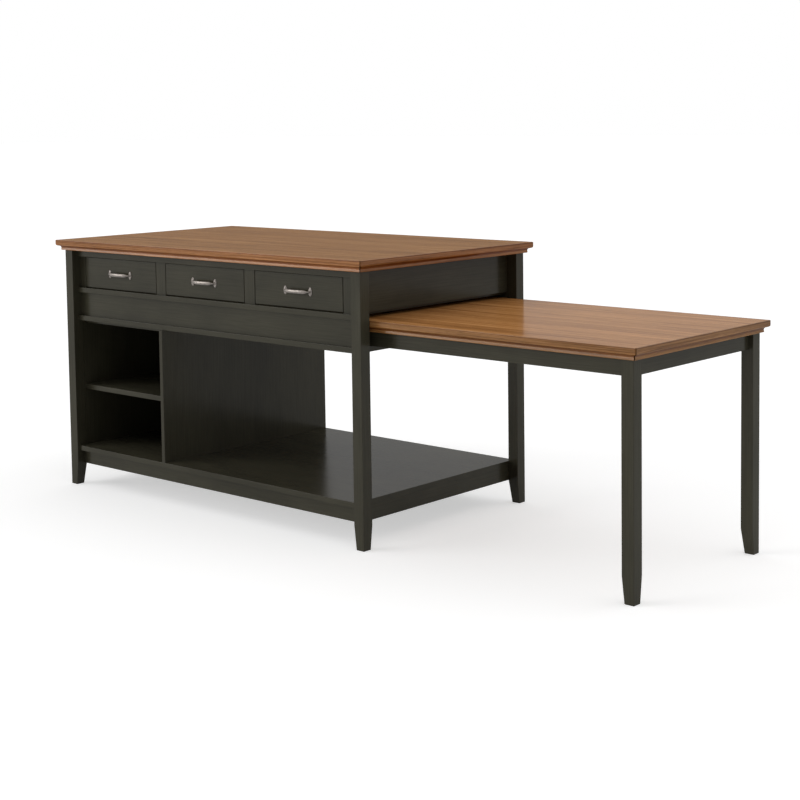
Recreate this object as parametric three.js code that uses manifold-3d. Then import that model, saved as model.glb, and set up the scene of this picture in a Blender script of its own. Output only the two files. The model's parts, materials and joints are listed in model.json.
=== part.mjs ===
// A kitchen island: a wooden worktop on a black painted frame with three drawers, open
// shelves below, and a table that slides out of its right-hand end on two legs of its own.
// Millimetres, +Z up, the drawers face -Y. The drawers are shut and the table is pulled out.
import * as THREE from "three";
import { mergeVertices } from "three/addons/utils/BufferGeometryUtils.js";
import Module from "manifold-3d";

const wasm = await Module();
wasm.setup();

// ---- Driving dimensions, in millimetres ----

// Worktop
const worktopHeight = 914; // floor to the top of the worktop
const worktopLength = 1550;
const worktopDepth = 876;
const worktopOverhang = 25.5; // from the worktop's edge to the legs' outer faces

// Edge of the worktop and of the table: a square board over a mitred moulding
const boardThickness = 14.5;
const mouldingHeight = 22.5;
const mouldingLap = 13.5; // how far the moulding runs in past the legs
const arrisRadius = 4.25; // round corner under the board's edge
const coveStart = 8.5; // set back from the board's edge
const coveRadius = 6;
const coveDepth = 10.5;
const fascia = 4; // nearly upright face under the cove
const fasciaTaper = 1;
const mouldingFoot = 2; // rounding at the bottom of the moulding

// Legs, of the island and of the table alike
const legSize = 41;
const footSize = 32;
const footTaper = 79; // height at which the two inner sides start to draw in
const footBevel = 1.5;

// Front frame
const railSetback = 22; // from the legs' front faces to the rails
const frameSetback = 36; // to the stiles, the drawer fronts and the panel under them
const frameThickness = 18;
const topRailHeight = 24;
const railHeight = 18; // of the rails under the drawers and over the open shelves
const drawerOpening = 115; // height of the drawer openings
const leftStile = 30;
const rightStile = 66;
const mullionWidth = 50;
const drawerNames = ["left", "middle", "right"];

// Panels
const thinPanel = 5; // panel under the drawers, and the back
const sidePanel = 15;
const endPanel = 18;
const dustPanel = 6;
const cubbyBack = 6;

// Open shelves
const shelfThickness = 18;
const shelfSetback = 10; // from the legs' front faces to the lower shelf's edge
const apronSetback = 29; // to the apron under it
const lowerApron = 50;
const dividerThickness = 16;
const cubbyWidth = 475.5; // from the left legs to the divider
const lowerCubby = 209; // clear height between the two shelves
const middleShelfSetback = 44.5;
const cubbyTop = 12;
const cubbyTopSetback = 54.5;
const cubbyBackSetback = 22; // from the legs' back faces

// Pull-out table
const tableLength = 1450;
const tableOverhang = 24; // from the table's edge to its legs' outer faces
const tableSideGap = 2.5; // between the table and the island's legs
const tableApron = 49.5;
const tableApronSetback = 15; // from its legs' outer faces
const tableReach = 954.5; // how far it is pulled out, from flush with the island's legs
const tableInnerRail = 15; // from the table's inner end to the rail there
const slotHeadroom = 11; // over the table, under the drawers' dust panel
const endPanelGap = 20; // over the table, under the end panel
const runnerLap = 2; // how far the runners reach in past the table's aprons
const stopLug = 120;
const stopDrop = 17.5; // how far the lug hangs below the aprons
const running = 0.5; // clearance of what slides

// Drawers
const frontGap = 2.5; // around a drawer front
const boxSideGap = 13.5; // from the box to the opening's side
const boxDepth = 340;
const boxHeight = 93.5;
const boxWall = 12;
const boxBottom = 6;
const guideWidth = 40;
const guideHeight = 13.5;
const guideClearance = 3;

// Drawer pulls
const pullSpacing = 114; // between the two plates
const plateWidth = 15;
const plateHeight = 28;
const plateThickness = 3;
const pullReach = 20; // from the drawer front to the middle of the grip
const gripHeight = 13;
const gripThickness = 7;
const neckSize = 6.5;
const neckEnd = 0.4; // share of the bow's rise at which the neck starts to widen
const shoulderStart = 0.72; // and at which it has the grip's full height

// ---- Finishes ----

const finish = (color, roughness, metalness) => () =>
  new THREE.MeshStandardMaterial({ color, roughness, metalness });
const stainedWood = finish(0x96704e, 0.42, 0);
const blackPaint = finish(0x2c2b28, 0.35, 0);
const bareWood = finish(0xb89b74, 0.7, 0);
const pewter = finish(0x8f877f, 0.35, 0.9);

// ---- Derived places: x from the island's middle, y from its middle, z from the floor ----

const legTop = worktopHeight - boardThickness - mouldingHeight;
const legOuterX = worktopLength / 2 - worktopOverhang;
const legOuterY = worktopDepth / 2 - worktopOverhang;
const legInnerX = legOuterX - legSize;
const legInnerY = legOuterY - legSize;
const railFace = legOuterY - railSetback;
const frameFace = legOuterY - frameSetback;
const frameBack = frameFace - frameThickness;

const drawerTop = legTop - topRailHeight;
const drawerFloor = drawerTop - drawerOpening;
const slotTop = drawerFloor - dustPanel;
const tableHeight = slotTop - slotHeadroom;
const tableLegTop = tableHeight - boardThickness - mouldingHeight;
const tableApronBottom = tableLegTop - tableApron;
const runnerTop = tableApronBottom - running;
const runnerBottom = runnerTop - railHeight;

const shelfBottom = footTaper + lowerApron;
const shelfTop = shelfBottom + shelfThickness;
const middleShelfBottom = shelfTop + lowerCubby;
const dividerLeft = cubbyWidth - legInnerX;
const dividerRight = dividerLeft + dividerThickness;
const cubbyBackFace = legOuterY - cubbyBackSetback;

const tableHalfWidth = legInnerY - tableSideGap;
const tableLegOuterY = tableHalfWidth - tableOverhang;
const tableApronFace = tableLegOuterY - tableApronSetback;
const tableApronBack = tableApronFace - frameThickness;
const runnerFace = tableApronBack - runnerLap;
const endPanelInner = legInnerX - endPanel;

const openingWidth =
  (2 * legInnerX - leftStile - rightStile - (drawerNames.length - 1) * mullionWidth) /
  drawerNames.length;
const openingStart = (n) => leftStile - legInnerX + n * (openingWidth + mullionWidth);

// ---- Shapes ----

// Every corner lies on a grid of 1/64 mm, which a 32-bit mesh holds exactly, so that the
// faces of two boards that touch coincide.
const snap = (value) => Math.round(value * 64) / 64;

function mesh(name, geometry, finishOf) {
  const made = new THREE.Mesh(geometry, finishOf());
  made.name = name;
  return made;
}

// A board between two x, two y and two z faces.
function board(name, finishOf, x, y, z) {
  const [low, high] = [0, 1].map((end) => new THREE.Vector3(x[end], y[end], z[end]));
  for (const corner of [low, high])
    corner.set(...corner.toArray().map(snap));
  const size = high.clone().sub(low);
  const made = mesh(name, new THREE.BoxGeometry(size.x, size.y, size.z), finishOf);
  made.position.copy(low).add(high).divideScalar(2);
  return made;
}

// A closed solid through rings of points, each shaped like the anticlockwise outline, from
// the ring furthest from the eye to the nearest.
function loft(rings, outline) {
  const count = outline.length;
  const corners = rings.flat().flatMap((point) => point.toArray().map(snap));
  const index = [];
  for (let ring = 0; ring + 1 < rings.length; ring++)
    for (let i = 0; i < count; i++) {
      const a = ring * count + i;
      const b = ring * count + ((i + 1) % count);
      index.push(a, b, b + count, a, b + count, a + count);
    }
  const last = (rings.length - 1) * count;
  for (const [a, b, c] of THREE.ShapeUtils.triangulateShape(outline, []))
    index.push(c, b, a, last + a, last + b, last + c);
  const geometry = new THREE.BufferGeometry();
  geometry.setAttribute("position", new THREE.Float32BufferAttribute(corners, 3));
  geometry.setIndex(index);
  geometry.computeVertexNormals();
  return geometry;
}

function solid(geometry) {
  const bare = new THREE.BufferGeometry();
  bare.setAttribute("position", geometry.getAttribute("position"));
  bare.setIndex(geometry.getIndex());
  const merged = mergeVertices(bare);
  return new wasm.Manifold(
    new wasm.Mesh({
      numProp: 3,
      vertProperties: merged.getAttribute("position").array,
      triVerts: new Uint32Array(merged.getIndex().array),
    }),
  );
}

function geometryOf(body) {
  const { vertProperties, triVerts } = body.getMesh();
  const geometry = new THREE.BufferGeometry();
  geometry.setAttribute("position", new THREE.BufferAttribute(vertProperties, 3));
  geometry.setIndex(new THREE.BufferAttribute(triVerts, 1));
  geometry.computeVertexNormals();
  return geometry;
}

// A block between two x, two y and two z faces, for joining and cutting.
function block(x, y, z) {
  const made = board("", bareWood, x, y, z);
  return solid(made.geometry.translate(...made.position.toArray()));
}

const arc = (cx, cy, rx, ry, from, to, steps) =>
  Array.from({ length: steps + 1 }, (_, i) => {
    const angle = from + ((to - from) * i) / steps;
    return new THREE.Vector2(cx + rx * Math.cos(angle), cy + ry * Math.sin(angle));
  });

// ---- Worktop and table edges ----

// The moulding's section: x runs in from the board's edge, y runs up from the moulding's
// foot. From the board down: a round arris, a flat, a cove, a fascia and a rounded foot.
function mouldingSection(width) {
  const quarter = Math.PI / 2;
  const coveEnd = coveStart + coveRadius;
  const coveFoot = mouldingFoot + fascia;
  return [
    ...arc(arrisRadius, mouldingHeight, arrisRadius, arrisRadius, 2 * quarter, 3 * quarter, 3),
    ...arc(coveStart, coveFoot, coveRadius, coveDepth, quarter, 0, 5),
    ...arc(
      coveEnd + fasciaTaper + mouldingFoot,
      mouldingFoot,
      mouldingFoot,
      mouldingFoot,
      2 * quarter,
      3 * quarter,
      2,
    ),
    new THREE.Vector2(width, 0),
    new THREE.Vector2(width, mouldingHeight),
  ];
}

// A strip along +x whose outer edge is at y = 0 and which is mitred at the ends asked for.
function mouldingStrip(name, length, width, mitreStart, mitreEnd) {
  const section = mouldingSection(width);
  const rings = [
    section.map((p) => new THREE.Vector3(length - (mitreEnd ? snap(p.x) : 0), p.x, p.y)),
    section.map((p) => new THREE.Vector3(mitreStart ? p.x : 0, p.x, p.y)),
  ];
  return mesh(name, loft(rings.reverse(), section), stainedWood);
}

const turned = (object, quarters, x, y, z) => {
  object.rotation.z = (quarters * Math.PI) / 2;
  object.position.set(...[x, y, z].map(snap));
  return object;
};

function worktop() {
  const group = new THREE.Group();
  const x = worktopLength / 2;
  const y = worktopDepth / 2;
  const boardBottom = worktopHeight - boardThickness;
  const width = worktopOverhang + legSize + mouldingLap;
  const strip = (side, length) =>
    mouldingStrip("worktop_moulding_" + side, length, width, true, true);
  group.add(
    board("worktop_board", stainedWood, [-x, x], [-y, y], [boardBottom, worktopHeight]),
    turned(strip("front", worktopLength), 0, -x, -y, legTop),
    turned(strip("right", worktopDepth), 1, x, -y, legTop),
    turned(strip("back", worktopLength), 2, x, y, legTop),
    turned(strip("left", worktopDepth), 3, -x, y, legTop),
  );
  return group;
}

// ---- Legs ----

// A leg whose outer corner is at the origin and whose tapered inner sides face +x and +y.
function leg(name, height) {
  const ring = (low, high, z) => [
    new THREE.Vector3(low, low, z),
    new THREE.Vector3(high, low, z),
    new THREE.Vector3(high, high, z),
    new THREE.Vector3(low, high, z),
  ];
  const rings = [
    ring(footBevel, footSize - footBevel, 0),
    ring(0, footSize, footBevel),
    ring(0, legSize, footTaper),
    ring(0, legSize, height),
  ];
  const outline = ring(0, legSize, 0).map((p) => new THREE.Vector2(p.x, p.y));
  return mesh(name, loft(rings, outline), blackPaint);
}

function islandLegs() {
  const group = new THREE.Group();
  group.add(
    turned(leg("leg_front_left", legTop), 0, -legOuterX, -legOuterY, 0),
    turned(leg("leg_front_right", legTop), 1, legOuterX, -legOuterY, 0),
    turned(leg("leg_back_right", legTop), 2, legOuterX, legOuterY, 0),
    turned(leg("leg_back_left", legTop), 3, -legOuterX, legOuterY, 0),
  );
  return group;
}

// ---- Island frame ----

function frontFrame() {
  const group = new THREE.Group();
  const across = [-legInnerX, legInnerX];
  const rail = (name, back, z) =>
    group.add(board(name, blackPaint, across, [-railFace, -back], z));
  rail("front_top_rail", frameFace, [drawerTop, legTop]);
  rail("front_middle_rail", legInnerY, [drawerFloor - railHeight, drawerFloor]);
  rail("front_bottom_rail", legInnerY, [runnerBottom, runnerTop]);

  const upright = (name, x) =>
    group.add(board(name, blackPaint, x, [-frameFace, -frameBack], [drawerFloor, legTop]));
  const rowEnd = openingStart(drawerNames.length - 1) + openingWidth;
  upright("front_stile_left", [-legInnerX, openingStart(0)]);
  upright("front_stile_right", [rowEnd, legInnerX]);
  for (let n = 1; n < drawerNames.length; n++)
    upright("front_mullion_" + n, [openingStart(n) - mullionWidth, openingStart(n)]);

  const underDrawers = [runnerTop, drawerFloor - railHeight];
  group.add(
    board(
      "front_apron_panel",
      blackPaint,
      across,
      [-frameFace, thinPanel - frameFace],
      underDrawers,
    ),
  );
  return group;
}

function backFrame() {
  const group = new THREE.Group();
  const across = [-legInnerX, legInnerX];
  const panelBack = legInnerY + thinPanel;
  group.add(
    board("back_top_rail", blackPaint, across, [panelBack, railFace], [drawerTop, legTop]),
    board(
      "back_bottom_rail",
      blackPaint,
      across,
      [legInnerY, railFace],
      [runnerBottom, runnerTop],
    ),
    board("back_panel", blackPaint, across, [legInnerY, panelBack], [runnerTop, legTop]),
  );
  return group;
}

function sides() {
  const group = new THREE.Group();
  const inside = [-legInnerY, legInnerY];
  const end = [endPanelInner, legInnerX];
  group.add(
    board(
      "left_side_panel",
      blackPaint,
      [-legInnerX - sidePanel, -legInnerX],
      inside,
      [footTaper, legTop],
    ),
    board(
      "right_end_panel",
      blackPaint,
      end,
      [-frameBack, legInnerY],
      [tableHeight + endPanelGap, legTop],
    ),
    board("table_slot_rail", blackPaint, end, inside, [runnerBottom, runnerTop]),
  );
  return group;
}

// What the drawers and the table run on.
function runners() {
  const group = new THREE.Group();
  const along = [-legInnerX, endPanelInner];
  const height = [runnerBottom, runnerTop];
  group.add(
    board("dust_panel", blackPaint, along, [-legInnerY, legInnerY], [slotTop, drawerFloor]),
    board("table_runner_front", bareWood, along, [-legInnerY, -runnerFace], height),
    board("table_runner_back", bareWood, along, [runnerFace, legInnerY], height),
  );
  const guideStart = boxWall + guideClearance - frameBack;
  drawerNames.forEach((name, n) => {
    const middle = openingStart(n) + openingWidth / 2;
    group.add(
      board(
        "drawer_guide_" + name,
        bareWood,
        [middle - guideWidth / 2, middle + guideWidth / 2],
        [guideStart, legInnerY],
        [drawerFloor, drawerFloor + guideHeight],
      ),
    );
  });
  return group;
}

function openShelves() {
  const group = new THREE.Group();
  const across = [-legInnerX, legInnerX];
  const cubby = [-legInnerX, dividerLeft];
  const shelfEdge = legOuterY - shelfSetback;
  const apronFace = legOuterY - apronSetback;
  const apronBack = apronFace - frameThickness;
  const apron = [footTaper, shelfBottom];
  const painted = (name, x, y, z) => group.add(board(name, blackPaint, x, y, z));
  painted("lower_shelf", across, [-shelfEdge, shelfEdge], [shelfBottom, shelfTop]);
  painted("lower_apron_front", across, [-apronFace, -apronBack], apron);
  painted("lower_apron_back", across, [apronBack, apronFace], apron);
  painted("lower_apron_right", [endPanelInner, legInnerX], [-apronBack, apronBack], apron);
  painted(
    "divider",
    [dividerLeft, dividerRight],
    [-shelfEdge, shelfEdge],
    [shelfTop, runnerBottom],
  );
  painted(
    "middle_shelf",
    cubby,
    [middleShelfSetback - legOuterY, cubbyBackFace - cubbyBack],
    [middleShelfBottom, middleShelfBottom + shelfThickness],
  );
  painted(
    "cubby_back",
    cubby,
    [cubbyBackFace - cubbyBack, cubbyBackFace],
    [shelfTop, runnerBottom],
  );
  painted(
    "cubby_top",
    cubby,
    [cubbyTopSetback - legOuterY, cubbyBackFace - cubbyBack],
    [runnerBottom - cubbyTop, runnerBottom],
  );
  return group;
}

// ---- Pull-out table: x from its legs' outer faces ----

// The rail that catches the island's slot rail when the table is fully out.
function stopRail(x) {
  const [side, lug] = [tableApronBack, stopLug / 2].map(snap);
  const [top, bottom, tip] = [
    tableLegTop,
    tableApronBottom,
    tableApronBottom - stopDrop,
  ].map(snap);
  const outline = new THREE.Shape(
    [
      [-side, bottom],
      [-lug, bottom],
      [-lug, tip],
      [lug, tip],
      [lug, bottom],
      [side, bottom],
      [side, top],
      [-side, top],
    ].map(([y, z]) => new THREE.Vector2(y, z)),
  );
  const depth = snap(frameThickness);
  const geometry = new THREE.ExtrudeGeometry(outline, { depth, bevelEnabled: false });
  // The outline's x and y become the rail's y and z.
  geometry.applyMatrix4(
    new THREE.Matrix4().makeBasis(
      new THREE.Vector3(0, 1, 0),
      new THREE.Vector3(0, 0, 1),
      new THREE.Vector3(1, 0, 0),
    ),
  );
  const made = mesh("table_stop_rail", geometry, bareWood);
  made.position.x = snap(x);
  return made;
}

function table() {
  const group = new THREE.Group();
  const x = tableOverhang;
  const inner = tableOverhang - tableLength;
  const y = tableHalfWidth;
  const width = tableOverhang + legSize + mouldingLap;
  const z = [tableHeight - boardThickness, tableHeight];
  const strip = (side, length, start, end) =>
    mouldingStrip("table_moulding_" + side, length, width, start, end);
  group.add(
    board("table_board", stainedWood, [inner, x], [-y, y], z),
    turned(strip("front", tableLength, false, true), 0, inner, -y, tableLegTop),
    turned(strip("end", 2 * y, true, true), 1, x, -y, tableLegTop),
    turned(strip("back", tableLength, true, false), 2, x, y, tableLegTop),
    turned(leg("table_leg_front", tableLegTop), 1, 0, -tableLegOuterY, 0),
    turned(leg("table_leg_back", tableLegTop), 2, 0, tableLegOuterY, 0),
  );
  const height = [tableApronBottom, tableLegTop];
  const along = [inner + tableInnerRail, -legSize];
  const legInner = tableLegOuterY - legSize;
  const end = -tableApronSetback;
  const innerRail = [along[0], along[0] + frameThickness];
  const between = [-tableApronBack, tableApronBack];
  group.add(
    board(
      "table_apron_front",
      blackPaint,
      along,
      [-tableApronFace, -tableApronBack],
      height,
    ),
    board("table_apron_back", blackPaint, along, [tableApronBack, tableApronFace], height),
    board(
      "table_apron_end",
      blackPaint,
      [end - frameThickness, end],
      [-legInner, legInner],
      height,
    ),
    board("table_inner_rail", bareWood, innerRail, between, height),
  );
  const slotRail = endPanelInner - legOuterX - tableReach; // in the table's frame
  group.add(stopRail(slotRail - running - frameThickness));
  group.position.x = snap(legOuterX + tableReach);
  return group;
}

// ---- Drawers: x from the front's middle, y from its face, z from the drawer floor ----

// The pull's plates lie on y = 0, and its grip bows out towards -y.
function pull(name) {
  const circle = (steps) => arc(0, 0, 1, 1, 0, 2 * Math.PI, steps).slice(0, -1);
  const plates = [-1, 1].map((side) => {
    const outline = circle(16);
    const ring = (y) =>
      outline.map(
        (p) =>
          new THREE.Vector3(
            (side * pullSpacing + p.x * plateWidth) / 2,
            y,
            (p.y * plateHeight) / 2,
          ),
      );
    return solid(loft([ring(0), ring(-plateThickness)], outline));
  });
  // The grip's middle line is half an ellipse, from inside one plate to inside the other.
  const outline = circle(8);
  const seat = plateThickness / 2;
  const rings = arc(0, 0, 1, 1, Math.PI, 0, 18).map(({ x: along, y: rise }) => {
    const centre = new THREE.Vector3(
      (along * pullSpacing) / 2,
      -seat - (pullReach - seat) * rise,
      0,
    );
    const sideways = new THREE.Vector3(
      -(pullReach - seat) * along,
      (pullSpacing / 2) * rise,
      0,
    ).normalize();
    const broad = THREE.MathUtils.smoothstep(rise, neckEnd, shoulderStart);
    const depth = THREE.MathUtils.lerp(neckSize, gripThickness, broad) / 2;
    const height = THREE.MathUtils.lerp(neckSize, gripHeight, broad) / 2;
    return outline.map((p) =>
      centre
        .clone()
        .addScaledVector(sideways, p.x * depth)
        .add(new THREE.Vector3(0, 0, p.y * height)),
    );
  });
  const grip = solid(loft(rings, outline));
  return mesh(name, geometryOf(plates[0].add(plates[1]).add(grip)), pewter);
}

// Four walls, the back one cut short over the bottom board and the guide.
function drawerBox(name, bottom) {
  const half = openingWidth / 2 - boxSideGap;
  const inner = half - boxWall;
  const [front, back] = [frameThickness, frameThickness + boxDepth];
  const [low, high] = [running, running + boxHeight];
  const box = block([-half, half], [front, back], [low, high])
    .subtract(
      block([-inner, inner], [front + boxWall, back - boxWall], [low - boxWall, high + boxWall]),
    )
    .subtract(
      block([-inner, inner], [back - 2 * boxWall, back + boxWall], [low - boxWall, bottom[1]]),
    );
  return mesh(name, geometryOf(box), bareWood);
}

function drawer(name, n) {
  const group = new THREE.Group();
  const half = openingWidth / 2 - frontGap;
  const inner = openingWidth / 2 - boxSideGap - boxWall;
  const frontHeight = [frontGap, drawerOpening - frontGap];
  const bottom = [guideHeight + running, guideHeight + running + boxBottom];
  const handle = pull("drawer_" + name + "_pull");
  handle.position.z = snap(drawerOpening / 2);
  group.add(
    board(
      "drawer_" + name + "_front",
      blackPaint,
      [-half, half],
      [0, frameThickness],
      frontHeight,
    ),
    drawerBox("drawer_" + name + "_box", bottom),
    board(
      "drawer_" + name + "_bottom",
      bareWood,
      [-inner, inner],
      [frameThickness + boxWall, frameThickness + boxDepth],
      bottom,
    ),
    handle,
  );
  const middle = openingStart(n) + openingWidth / 2;
  group.position.set(...[middle, -frameFace, drawerFloor].map(snap));
  return group;
}

// ---- The whole island, its origin on the floor in the middle of what it covers ----

const island = new THREE.Group();
island.name = "kitchen_island";
island.add(worktop(), islandLegs(), frontFrame(), backFrame(), sides(), runners());
island.add(openShelves(), table(), ...drawerNames.map(drawer));
const tableEnd = legOuterX + tableReach + tableOverhang;
island.position.x = snap((worktopLength / 2 - tableEnd) / 2);

export default island;
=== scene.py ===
"""A kitchen island with a pull-out table: its wood, painted frame and metal pulls.

Metres, +Z up, the drawers face -Y. The drawers are shut and the table is pulled out."""

import json
import math
from contextlib import contextmanager

import bmesh
import bpy
from mathutils import Matrix, Vector

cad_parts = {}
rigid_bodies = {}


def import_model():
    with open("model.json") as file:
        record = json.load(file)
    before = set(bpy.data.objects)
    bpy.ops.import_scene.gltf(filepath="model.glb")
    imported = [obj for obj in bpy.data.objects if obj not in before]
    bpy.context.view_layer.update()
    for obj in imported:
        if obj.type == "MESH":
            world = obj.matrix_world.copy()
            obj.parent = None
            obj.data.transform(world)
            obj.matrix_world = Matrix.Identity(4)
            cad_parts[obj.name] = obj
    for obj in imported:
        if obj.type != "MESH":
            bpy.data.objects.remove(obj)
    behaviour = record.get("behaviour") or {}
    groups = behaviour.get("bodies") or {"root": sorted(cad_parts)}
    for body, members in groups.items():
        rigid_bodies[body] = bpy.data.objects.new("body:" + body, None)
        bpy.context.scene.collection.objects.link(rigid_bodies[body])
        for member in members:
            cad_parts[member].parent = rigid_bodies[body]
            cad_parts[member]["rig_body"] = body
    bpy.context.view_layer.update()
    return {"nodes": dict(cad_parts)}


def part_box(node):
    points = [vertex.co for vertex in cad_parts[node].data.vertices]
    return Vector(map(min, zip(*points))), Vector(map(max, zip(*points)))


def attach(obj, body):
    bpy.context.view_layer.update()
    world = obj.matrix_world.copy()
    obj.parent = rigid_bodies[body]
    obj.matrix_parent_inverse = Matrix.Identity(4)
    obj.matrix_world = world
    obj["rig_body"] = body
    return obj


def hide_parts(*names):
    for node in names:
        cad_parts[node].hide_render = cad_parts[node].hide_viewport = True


bl_info = {
    "name": "Kitchen island with a pull-out table",
    "version": (1, 0, 0),
    "blender": (4, 5, 0),
    "location": "3D View > Sidebar > Island",
    "description": "Models and finishes a kitchen island around its packed frame",
    "category": "Object",
}

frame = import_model()

MM = 0.001
NEAR = 0.01 * MM  # what counts as the same place
DOUBLE = 0.001 * MM  # vertices this close are one
DRAWERS = ("left", "middle", "right")


# ---- What a user would change ----


def length(name, description, millimetres):
    return bpy.props.FloatProperty(
        name=name,
        description=description,
        default=millimetres * MM,
        min=0.0,
        precision=5,
        unit="LENGTH",
        subtype="DISTANCE",
    )


def colour(name, description, red, green, blue):
    return bpy.props.FloatVectorProperty(
        name=name,
        description=description,
        default=(red, green, blue),
        min=0.0,
        max=1.0,
        size=3,
        subtype="COLOR",
    )


def share(name, description, default, highest=1.0):
    return bpy.props.FloatProperty(
        name=name, description=description, default=default, min=0.0, max=highest
    )


def tint(name, description, red, green, blue):
    return bpy.props.FloatVectorProperty(
        name=name,
        description=description,
        default=(red, green, blue),
        min=0.0,
        max=2.0,
        size=3,
    )


class IslandSizes(bpy.types.PropertyGroup):
    """Sizes, in millimetres, of the details that the frame leaves out."""

    board_ease: length("Board ease", "Rounding of the painted boards' long edges", 0.9)
    front_ease: length("Front ease", "Rounding of the drawer fronts' edges", 1.0)
    leg_ease: length("Leg ease", "Rounding of the legs' upright edges", 1.4)
    band: length("Edge band", "Thickness of the solid band round each top", 4.0)
    top_ease: length("Top ease", "Rounding of the tops' upper edge", 1.5)
    # Height of the darker line under a band's upper edge, made with the tint that paints
    # shade in the mouldings' hollows.
    settled_line: length("Settled line", "Height of the line under a top's edge", 2.2)
    seam: length("Seam", "Rounding along the joint of band and moulding", 0.45)
    mitre_gap: length("Mitre gap", "How far a mitred strip ends before its corner", 2.3)
    arris: length("Arris", "Round corner at the top of the moulding", 6.0)
    cove_start: length("Cove start", "From the top's edge to the cove", 8.5)
    cove_drop: length("Cove drop", "How far the cove starts under the arris", 1.3)
    cove_width: length("Cove width", "How far the hollow of the moulding draws in", 6.3)
    cove_height: length("Cove height", "Height of the hollow of the moulding", 7.25)
    fascia: length("Fascia", "Height of the face under the cove", 6.0)
    fascia_lean: length("Fascia lean", "How far the fascia leans out", 0.8)
    moulding_foot: length("Moulding foot", "Rounding at the moulding's lower edge", 2.0)
    leg_taper: length("Leg taper", "Height at which the legs start to draw in", 79.0)
    foot: length("Foot", "Width of a leg on the floor", 32.0)
    foot_bevel: length("Foot bevel", "Bevel under a leg", 1.5)
    drawer_wall: length("Drawer wall", "Thickness of the drawers' walls", 12.0)
    plate_width: length("Plate width", "Width of a pull's plates", 15.0)
    plate_thickness: length("Plate thickness", "Thickness of a pull's plates", 3.0)
    grip_neck: length("Grip neck", "Thickness of a pull's grip at its ends", 6.4)
    grip_height: length("Grip height", "Height of a pull's grip in its middle", 12.9)
    collar: length("Collar", "Width of the bead where a grip meets its plate", 9.0)


class IslandFinishes(bpy.types.PropertyGroup):
    """Colours and gloss of the four finishes."""

    wood_dark: colour("Wood, dark", "Darkest grain of the wood", 0.165, 0.066, 0.016)
    wood_middle: colour("Wood, middle", "Most of the stained wood", 0.292, 0.132, 0.036)
    wood_light: colour("Wood, light", "Lightest grain of the wood", 0.435, 0.216, 0.070)
    wood_gloss: share("Wood roughness", "Roughness of the wood under the varnish", 0.45)
    worktop_tint: tint("Worktop tint", "The stain on the worktop", 1.03, 1.03, 1.03)
    table_tint: tint("Table tint", "The stain on the table", 1.42, 1.41, 1.62)
    band_tint: tint("Band tint", "The stain on the bands", 1.01, 0.91, 1.06)
    moulding_tint: tint("Moulding tint", "The stain on the mouldings", 1.24, 1.10, 1.18)
    table_edge_tint: tint("Table edge tint", "Added on its edges", 0.92, 1.05, 1.12)
    # Painted shade in the mouldings' hollows, where shade falls; the same tint also makes
    # a darker line under each band's upper edge.
    hollow_tint: tint("Hollow tint", "Where more stain has settled", 0.58, 0.46, 0.39)
    worktop_varnish: share("Worktop varnish", "Strength of the worktop's varnish", 0.12)
    table_varnish: share("Table varnish", "Strength of the table's varnish", 0.27)
    band_varnish: share("Band varnish", "Strength of the bands' varnish", 0.36)
    moulding_varnish: share("Moulding varnish", "Strength of the strips' varnish", 0.36)
    varnish_gloss: share("Varnish roughness", "Roughness of the varnish", 0.16)
    paint: colour("Paint", "The black paint", 0.0460, 0.0426, 0.0280)
    paint_sheen: share("Paint sheen", "Strength of the paint's satin reflection", 0.32)
    paint_gloss: share("Paint roughness", "Roughness of that reflection", 0.20)
    bare_dark: colour("Bare wood, dark", "Grain of the bare wood", 0.360, 0.225, 0.115)
    bare_light: colour("Bare wood, light", "Most of the bare wood", 0.560, 0.395, 0.225)
    pewter: colour("Pewter", "The pulls' metal", 0.222, 0.199, 0.181)
    pewter_gloss: share("Pewter roughness", "Roughness of the pulls", 0.42)


class IslandStage(bpy.types.PropertyGroup):
    """The camera, the lamps and the floor."""

    camera_place: bpy.props.FloatVectorProperty(
        name="Camera place",
        description="Where the camera stands",
        default=(3.59333, -3.91681, 1.34801),
        size=3,
        unit="LENGTH",
        subtype="TRANSLATION",
    )
    camera_turn: bpy.props.FloatVectorProperty(
        name="Camera turn",
        description="The camera's turn round the upright, its tilt down and its roll",
        default=(math.radians(41.491), math.radians(4.438), math.radians(-0.719)),
        size=3,
        unit="ROTATION",
        subtype="EULER",
    )
    lens: bpy.props.FloatProperty(
        name="Lens", description="Focal length in millimetres", default=70.962, min=1.0
    )
    shift: bpy.props.FloatVectorProperty(
        name="Shift", description="The lens's shift", default=(-0.0165, -0.20), size=2
    )
    sky: share("Sky", "Level of the soft light from all round", 0.24, 5.0)
    overhead: share("Overhead", "Strength of the lamp overhead", 1.22, 20.0)
    key: share("Key", "Strength of the low lamp in front on the left", 1.72, 20.0)
    fill: share("Fill", "Strength of the lamp behind on the right", 0.55, 20.0)
    floor: share("Floor", "How much light the floor sends back", 0.70)
    floor_lift: share("Floor lift", "What brings the open floor up to white", 0.52)


# ---- Modelling by hand ----


def deselect_all():
    bpy.ops.object.select_all(action="DESELECT")


def select_only(piece):
    deselect_all()
    piece.select_set(True)
    bpy.context.view_layer.objects.active = piece


def new_piece(name):
    """The primitive just added, with its place, turn and size in its mesh."""
    bpy.ops.object.transform_apply(location=True, rotation=True, scale=True)
    piece = bpy.context.object
    piece.name = name
    piece.data.name = name
    return piece


def add_block(name, low, high):
    """A block between two corners, to be shaped further."""
    deselect_all()
    low, high = Vector(low), Vector(high)
    bpy.ops.mesh.primitive_cube_add(size=1, location=(low + high) / 2)
    bpy.context.object.scale = high - low
    return new_piece(name)


@contextmanager
def editing(piece, kind, everything=False):
    """Edit mode on a piece, with all or nothing selected; kind is VERT, EDGE or FACE."""
    select_only(piece)
    bpy.ops.object.mode_set(mode="EDIT")
    bpy.ops.mesh.select_mode(type=kind)
    bpy.ops.mesh.select_all(action="SELECT" if everything else "DESELECT")
    yield
    bpy.ops.object.mode_set(mode="OBJECT")


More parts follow.
